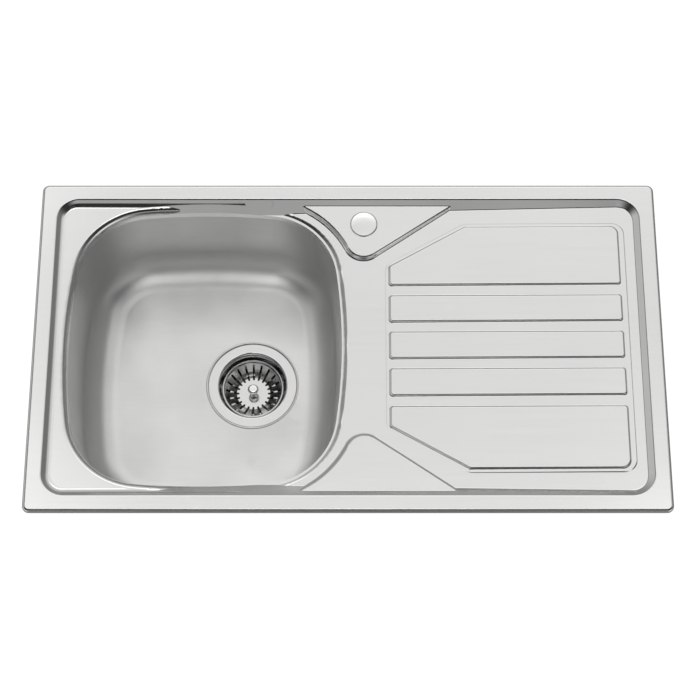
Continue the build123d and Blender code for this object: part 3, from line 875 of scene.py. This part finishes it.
@dataclass(frozen=True)
class BasketWaste:
    """The basket strainer waste: cup, lift-out basket, seals, screw and the funnel below."""

    thread_pitch: float = 2.309 * MILLIMETRE
    thread_height: float = 0.45 * MILLIMETRE
    thread_half_width: float = 0.75 * MILLIMETRE
    thread_sunk: float = 0.3 * MILLIMETRE
    thread_start: float = 4.0 * MILLIMETRE
    thread_length: float = 24.0 * MILLIMETRE
    foot_height: float = 0.5 * MILLIMETRE
    thread_fade: float = 0.5
    thread_least: float = 0.05
    steps_a_turn: int = 60

    lip_inside: float = 1.3 * MILLIMETRE
    lip_outside: float = 2.2 * MILLIMETRE
    lip_crown: float = 0.60 * MILLIMETRE
    lip_rings: int = 240
    lip_points: int = 12
    seat_reach: float = 4.0 * MILLIMETRE

    knob_pole: float = 0.01
    knob_flatness: float = 7.0
    knob_dome: float = 2.0 * MILLIMETRE
    knob_neck: float = 3.0 * MILLIMETRE
    knob_rings: int = 18
    knob_points: int = 64

    def knob(self) -> None:
        """Turns the basket's mushroom grip.

        Its top falls by the dome times a power of the radius's share, so that it is nearly flat in
        the middle. Below the edge it comes in on a quarter ellipse to the neck.
        """
        low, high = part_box("basket_knob")
        reach, edge = (high.x - low.x) / 2, high.z - self.knob_dome
        share = np.linspace(self.knob_pole, 1, self.knob_rings)
        crown = np.stack([reach * share, high.z - self.knob_dome * share**self.knob_flatness], axis=1)
        turn = np.linspace(0, np.pi / 2, self.knob_rings)[1:]
        inward = self.knob_neck + (reach - self.knob_neck) * np.cos(turn)
        under = np.stack([inward, edge - (edge - low.z) * np.sin(turn)], axis=1)
        profile = np.concatenate([crown, under])[:, :, None, None]
        out, up = round_axis(full_turn(self.knob_points))
        axis = np.array([(low.x + high.x) / 2, (low.y + high.y) / 2, 0.0])
        piece = Piece("basket_grip", "basket", "knob_chrome", CHROME)
        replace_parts(piece.make(axis + profile[:, 0] * out + profile[:, 1] * up), "basket_knob")

    def lip(self) -> None:
        """Rolls the flange's edge down on the bowl, over the gap round it.

        The section's top is a sine arch over the chord from the flange's face to the bowl's floor,
        and its underside is the same chord let down by the crown.
        """
        flange, bowl = node_points("strainer_flange"), node_points("bowl")
        centre = (flange.min(axis=0) + flange.max(axis=0)) / 2
        edge = np.hypot(*(flange[:, :2] - centre[:2]).T).max()
        top = flange[:, 2].max()
        near = np.hypot(*(bowl[:, :2] - centre[:2]).T)
        floor = bowl[(near > edge) & (near < edge + self.seat_reach), 2].max()
        share = np.linspace(0, 1, self.lip_points)
        chord = top + (floor - top) * share
        reach = edge - self.lip_inside + (self.lip_inside + self.lip_outside) * share
        arch = np.stack([reach, chord + self.lip_crown * np.sin(np.pi * share)], axis=1)
        foot = np.stack([reach, chord - self.lip_crown], axis=1)[::-1]
        section = np.concatenate([arch, foot])[::-1]
        out, up = round_axis(full_turn(self.lip_rings))
        axis = np.array([centre[0], centre[1], 0.0])
        rings = swept_rings(np.tile(axis, (self.lip_rings, 1)), out, up, section)
        Piece("flange_lip", "sink", "polished_steel", ROLLED_EDGE).make(rings, closed=True)

    def thread(self) -> None:
        """Winds the trap's thread round the spigot.

        The path is a helix on the spigot's wall. The section is a trapezium whose foot is sunk in
        the wall, and its height grows from nothing over the first half turn and fades in the last.
        """
        points = node_points("waste_body")
        low, high = points.min(axis=0), points.max(axis=0)
        centre = (low + high) / 2
        foot = points[points[:, 2] < low[2] + self.foot_height]
        radius = np.hypot(*(foot[:, :2] - centre[:2]).T).max()
        turns = self.thread_length / self.thread_pitch
        count = int(turns * self.steps_a_turn)
        turn = np.linspace(0, turns, count)
        out, up = round_axis(2 * np.pi * turn)
        path = centre + radius * out
        path[:, 2] = low[2] + self.thread_start + turn * self.thread_pitch
        fade = np.clip(np.minimum(turn, turns - turn) / self.thread_fade, self.thread_least, 1)[:, None]
        half, height, sunk = self.thread_half_width, self.thread_height, self.thread_sunk
        reach = np.concatenate([fade * height, fade * height, -sunk + 0 * fade, -sunk + 0 * fade], axis=1)
        rise = np.broadcast_to(np.array([-half / 3, half / 3, half, -half]), reach.shape)
        rings = swept_rings(path, out, up, np.stack([reach, rise], axis=-1))
        Piece("spigot_thread", "sink", "waste_plastic", WASTE_PLASTIC).make(rings)

    def build(self) -> None:
        """Dresses the waste's pieces and adds the grip, the flange's rolled edge and the thread."""
        dress(POLISHED_STEEL, "strainer_flange", "waste_screw")
        dress(POLISHED_STEEL, "strainer_basket", "basket_stem", "seal_retainer")
        dress(SEAL_RUBBER, "flange_gasket", "lower_gasket", "basket_seal")
        dress(WASTE_PLASTIC, "waste_body")
        dress(CLIP_PLASTIC, "stem_clip")
        self.knob()
        self.lip()
        self.thread()


@dataclass(frozen=True)
class ClampScrew:
    """A hexagon-headed screw with a cross recess and a rolled thread.

    It is made of rings round its axis, from the pole at the tip down the shank, out over the head
    and back into the recess. Every ring has a point at each corner of the hexagon and of the cross.
    """

    crest: float = 2.5 * MILLIMETRE
    root: float = 2.05 * MILLIMETRE
    pitch: float = 0.8 * MILLIMETRE
    shank: float = 34.0 * MILLIMETRE
    point: float = 1.2 * MILLIMETRE
    head: float = 4.6 * MILLIMETRE
    head_height: float = 4.0 * MILLIMETRE
    head_chamfer: float = 0.5 * MILLIMETRE
    recess_width: float = 1.2 * MILLIMETRE
    recess_length: float = 6.0 * MILLIMETRE
    recess_depth: float = 2.0 * MILLIMETRE
    runout_turns: float = 1.5
    rings_a_pitch: int = 4

    def turns(self) -> np.ndarray:
        """Angles of a ring's points: every 30 degrees, and the cross's inner and outer corners.

        Returns:
            The angles in order.
        """
        quarter = np.arange(4) * np.pi / 2
        slant = math.atan2(self.recess_width, self.recess_length)
        corners = [quarter + slant, quarter - slant + np.pi / 2, quarter + np.pi / 4]
        return np.sort(np.concatenate([np.arange(12) * np.pi / 6, *corners]))

    def hexagon(self, angle: np.ndarray, reach: float) -> np.ndarray:
        """Radius of a hexagon whose corners lie reach from the axis: its flat over the cosine to it."""
        flat = reach * math.cos(math.pi / 6)
        return flat / np.cos((angle % (np.pi / 3)) - np.pi / 6)

    def cross(self, angle: np.ndarray) -> np.ndarray:
        """Radius of the cross: the longer reach of two bars, each the nearer of its side and end.

        Args:
            angle: angles of a ring's points.

        Returns:
            The radius at each angle.
        """
        tiny = 1e-9
        across, along = np.abs(np.sin(angle)) + tiny, np.abs(np.cos(angle)) + tiny
        half, end = self.recess_width / 2, self.recess_length / 2
        return np.maximum(np.minimum(half / across, end / along), np.minimum(half / along, end / across))

    def shank_rings(self, angle: np.ndarray) -> tuple[np.ndarray, np.ndarray]:
        """The threaded shank.

        The radius runs between root and crest as a triangle wave of the depth over the pitch less
        the turn, and never passes the pointed tip's cone.

        Args:
            angle: angles of a ring's points.

        Returns:
            Radius of each point, and depth of each ring below the tip.
        """
        count = int(self.shank / self.pitch * self.rings_a_pitch) + 1
        depth = np.linspace(0, self.shank, count)
        phase = (depth[:, None] / self.pitch - angle[None, :] / (2 * np.pi)) % 1
        radius = self.root + (self.crest - self.root) * (1 - np.abs(2 * phase - 1))
        cone = self.crest - self.point + depth[:, None]
        runout = (self.shank - depth[:, None]) / self.pitch
        radius = np.where(runout < self.runout_turns, self.root, radius)
        return np.minimum(radius, cone), depth

    def rings(self) -> np.ndarray:
        """The whole screw about its axis, with its tip at 0 and its head below.

        Returns:
            The points, by ring, by place in the ring and by axis.
        """
        angle = self.turns()
        radius, depth = self.shank_rings(angle)
        end = self.shank + self.head_height
        cross, chamfer = self.cross(angle), self.head_chamfer
        lower = [
            (self.hexagon(angle, self.head), self.shank),
            (self.hexagon(angle, self.head), end - chamfer),
            (self.hexagon(angle, self.head - chamfer), end),
            (cross, end),
            (cross, end - self.recess_depth),
        ]
        lower_radii, lower_depths = zip(*lower)
        radius = np.concatenate([radius, np.stack(lower_radii)])
        depth = np.concatenate([depth, lower_depths])
        down = np.broadcast_to(-depth[:, None], radius.shape)
        return np.stack([radius * np.cos(angle), radius * np.sin(angle), down], axis=-1)


@dataclass(frozen=True)
class FixingClips:
    """The clips that pull the sink down on the worktop: lugs, rivets, arms and clamp screws."""

    count: int = 8
    screw: ClampScrew = ClampScrew()

    def clamp_screw(self, number: int) -> None:
        """Puts a threaded screw in place of the plain one.

        Args:
            number: which clip it belongs to.
        """
        axis_of = {joint["name"]: np.array(joint["axis"], dtype=float) for joint in frame["joints"]}
        node = f"clip_screw_{number}"
        across, along = axis_of[f"clip_swing_{number}"], axis_of[f"clip_screw_travel_{number}"]
        axes = np.stack([across, np.cross(along, across), along])
        spread = node_points(node) @ axes.T
        low, high = spread.min(axis=0), spread.max(axis=0)
        tip = np.array([*(low + high)[:2] / 2, high[2]])
        piece = Piece(f"threaded_screw_{number}", f"clamp_screw_{number}", "screw_zinc", ZINC)
        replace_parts(piece.make((self.screw.rings() + tip) @ axes), node)

    def build(self) -> None:
        """Dresses the clips and threads their screws."""
        numbers = range(1, self.count + 1)
        dress(GALVANISED, "clip_lugs", *(f"clip_arm_{number}" for number in numbers))
        dress(ZINC, "clip_pins")
        for number in numbers:
            self.clamp_screw(number)


# ---- the studio ----


@dataclass(frozen=True)
class Tent:
    """The soft light round the sink, described from the direction in which a level surface reflects.

    Brightness runs from that direction outwards along four ramps, one to each side, and between two
    of them it is their mean, weighted by the squares of the cosines. Towards the front corners it
    goes over to a fifth ramp, by the gain times the one weight times the other, which is 1 halfway
    between two sides. Angles are in degrees, and a slope of half an angle reflects what lies at it.
    """

    axis_tilt: float = math.radians(21.7)
    strength: float = 2.0
    corner_gain: float = 4.0

    def ramps(self) -> dict[str, Stops]:
        """Brightness by angle to the back, the front, the left, the right and the front corners.

        Returns:
            The stops of each ramp.
        """
        return {
            "back": [
                (0, 0.87), (9, 0.94), (13, 1.70), (21, 1.60), (27, 0.70), (50, 0.60),
                (57, 0.28), (75, 0.28), (84, 0.80), (108, 0.80), (122, 0.34), (180, 0.34),
            ],
            "front": [
                (0, 0.86), (8, 0.90), (11, 2.40), (17, 2.40), (20, 0.03), (61, 0.02),
                (66, 0.48), (72, 0.46), (79, 0.08), (106, 0.08), (117, 0.42), (180, 0.42),
            ],
            "left": [
                (0, 0.86), (9, 0.82), (12, 1.20), (15, 1.10), (20, 0.32), (48, 0.26),
                (57, 0.60), (76, 0.62), (86, 0.75), (104, 0.72), (118, 0.22), (180, 0.20),
            ],
            "right": [
                (0, 0.86), (8, 0.89), (12, 0.82), (36, 0.66), (48, 0.20),
                (98, 0.18), (106, 1.20), (124, 1.10), (138, 0.28), (180, 0.18),
            ],
            "corner": [
                (0, 0.86), (9, 0.90), (12, 1.40), (16, 1.30), (19, 0.03),
                (72, 0.03), (82, 1.00), (104, 1.00), (114, 0.30), (180, 0.30),
            ],
        }

    def ramp(self, shader: Shader, share: Socket, stops: Stops) -> Socket:
        """Places one ramp.

        Args:
            shader: the world's tree.
            share: the angle as a share of half a turn.
            stops: angles and brightnesses.

        Returns:
            The brightness as a colour.
        """
        node = shader.node("ShaderNodeValToRGB", share)
        elements = node.color_ramp.elements
        node.color_ramp.interpolation = "EASE"
        ready = len(elements)
        for index, (angle, level) in enumerate(stops):
            position = angle / HALF_TURN
            element = elements[index] if index < ready else elements.new(position)
            element.position = position
            element.color = (*(level / self.strength,) * 3, 1.0)
        return node.outputs["Color"]

    def hang(self) -> None:
        """Makes the world."""
        world = bpy.data.worlds.new("studio")
        bpy.context.scene.world = world
        world.use_nodes = True
        shader = Shader(world.node_tree)
        background = world.node_tree.nodes["Background"]
        towards = shader.node("ShaderNodeTexCoord").outputs["Generated"]
        sine, cosine = math.sin(self.axis_tilt), math.cos(self.axis_tilt)
        upward = shader.dot(towards, (0.0, sine, cosine))
        sideways = shader.dot(towards, (1.0, 0.0, 0.0))
        backward = shader.dot(towards, (0.0, cosine, -sine))
        share = shader.maths("DIVIDE", shader.maths("ARCCOSINE", upward), math.pi)
        levels = {name: self.ramp(shader, share, stops) for name, stops in self.ramps().items()}
        at_back = shader.maths("GREATER_THAN", backward, 0.0)
        at_right = shader.maths("GREATER_THAN", sideways, 0.0)
        across = shader.maths("MULTIPLY", sideways, sideways)
        along = shader.maths("MULTIPLY", backward, backward)
        tiny = 1e-6
        both = shader.maths("ADD", shader.maths("ADD", across, along), tiny)
        weight = shader.maths("DIVIDE", across, both)
        depth = shader.mixed(at_back, levels["front"], levels["back"])
        width = shader.mixed(at_right, levels["left"], levels["right"])
        sides = shader.mixed(weight, depth, width)
        slant = shader.maths("MULTIPLY", weight, shader.maths("SUBTRACT", 1.0, weight))
        ahead = shader.between(at_back, self.corner_gain, 0.0)
        light = shader.mixed(shader.maths("MULTIPLY", slant, ahead), sides, levels["corner"])
        seen = shader.node("ShaderNodeLightPath").outputs["Is Camera Ray"]
        white = (1.0 / self.strength,) * 3
        shader.link(shader.mixed(seen, light, white), background.inputs["Color"])
        background.inputs["Strength"].default_value = self.strength


@dataclass(frozen=True)
class SoftBox:
    """A round soft light that falls on the bowl alone.

    Its place is given from the direction in which a level surface reflects: how far off it lies, and
    to which side. Angles are in degrees.
    """

    name: str
    side: tuple[float, float]
    off: float
    half_width: float
    level: float
    distance: float = 1.6

    def hang(self, receivers: bpy.types.Collection) -> None:
        """Makes the light. Its power is its level times pi times its area.

        Args:
            receivers: what it lights.
        """
        tilt = Tent.axis_tilt
        upward = Vector((0.0, math.sin(tilt), math.cos(tilt)))
        backward = Vector((0.0, math.cos(tilt), -math.sin(tilt)))
        aside = Vector((self.side[0], 0.0, 0.0)) + backward * self.side[1]
        off = math.radians(self.off)
        towards = upward * math.cos(off) + aside.normalized() * math.sin(off)
        radius = self.distance * math.tan(math.radians(self.half_width))
        light = bpy.data.lights.new(self.name, "AREA")
        light.shape = "DISK"
        light.size = 2 * radius
        area = math.pi * radius**2
        light.energy = self.level * math.pi * area
        low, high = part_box("bowl")
        box = bpy.data.objects.new(self.name, light)
        box.location = (low + high) / 2 + towards * self.distance
        box.rotation_euler = towards.to_track_quat("Z", "Y").to_euler()
        box.visible_camera = False
        box.light_linking.receiver_collection = receivers
        bpy.context.scene.collection.objects.link(box)


@dataclass(frozen=True)
class Studio:
    """Camera, floor and light."""

    focal_pixels: float = 1873.6
    frame_pixels: float = 696.0
    camera_elevation: float = math.radians(68.3)
    camera_place: tuple[float, float, float] = (0.0, -0.862, 2.154)
    sensor: float = 36.0
    floor_half: float = 6.0
    floor_gap: float = 0.004
    floor_grey: float = 0.75
    floor_roughness: float = 0.9
    floor_glow: float = 1.05
    farthest: float = 50.0
    boxes: tuple[SoftBox, ...] = (
        SoftBox("front_box", (0.0, -1.0), 44.0, 20.0, 1.20),
        SoftBox("left_box", (-1.0, 0.0), 32.0, 13.0, 0.66),
        SoftBox("right_box", (1.0, 0.0), 34.0, 13.0, 0.46),
    )

    def camera(self) -> None:
        """Sets the camera where the photograph was taken from."""
        data = bpy.data.cameras.new("camera")
        data.sensor_width = self.sensor
        data.lens = self.focal_pixels / self.frame_pixels * self.sensor
        data.clip_end = self.farthest
        camera = bpy.data.objects.new("camera", data)
        camera.location = self.camera_place
        look = Vector((0.0, math.cos(self.camera_elevation), -math.sin(self.camera_elevation)))
        camera.rotation_euler = look.to_track_quat("-Z", "Y").to_euler()
        bpy.context.scene.collection.objects.link(camera)
        bpy.context.scene.camera = camera

    def floor(self) -> None:
        """Lays a plain pale floor just below the waste, evenly white to the camera and clear from below."""
        level = CAD_BOX[0].z - self.floor_gap
        half = self.floor_half
        mesh = bpy.data.meshes.new("floor")
        corners = [(-half, -half, level), (half, -half, level), (half, half, level), (-half, half, level)]
        mesh.from_pydata(corners, [], [(0, 1, 2, 3)])
        floor = bpy.data.objects.new("floor", mesh)
        bpy.context.scene.collection.objects.link(floor)
        material, shader, principled = new_material("floor")
        principled.inputs["Base Color"].default_value = (self.floor_grey,) * 3 + (1.0,)
        principled.inputs["Roughness"].default_value = self.floor_roughness
        glow = shader.feed_by_name(shader.node("ShaderNodeEmission"), Strength=self.floor_glow).outputs[0]
        seen = shader.node("ShaderNodeLightPath").outputs["Is Camera Ray"]
        below = shader.node("ShaderNodeNewGeometry").outputs["Backfacing"]
        clear = shader.node("ShaderNodeBsdfTransparent").outputs[0]
        above = shader.node("ShaderNodeMixShader", seen, principled.outputs[0], glow).outputs[0]
        both = shader.node("ShaderNodeMixShader", below, above, clear).outputs[0]
        shader.link(both, material.node_tree.nodes["Material Output"].inputs["Surface"])
        mesh.materials.append(material)

    def build(self) -> None:
        """Sets up the whole studio."""
        self.camera()
        self.floor()
        Tent().hang()
        lit = bpy.data.collections.new("lit_by_soft_boxes")
        lit.objects.link(frame["nodes"]["bowl"])
        for box in self.boxes:
            box.hang(lit)
        bpy.context.scene.view_settings.view_transform = "Standard"


def main() -> None:
    """Builds the studio and then each sub-assembly of the sink."""
    logging.basicConfig(level=logging.INFO)
    Studio().build()
    for assembly in (PressedTop(), DrawnBowl(), BasketWaste(), FixingClips()):
        LOG.info("building %s", type(assembly).__name__)
        assembly.build()


if __name__ == "__main__":
    main()
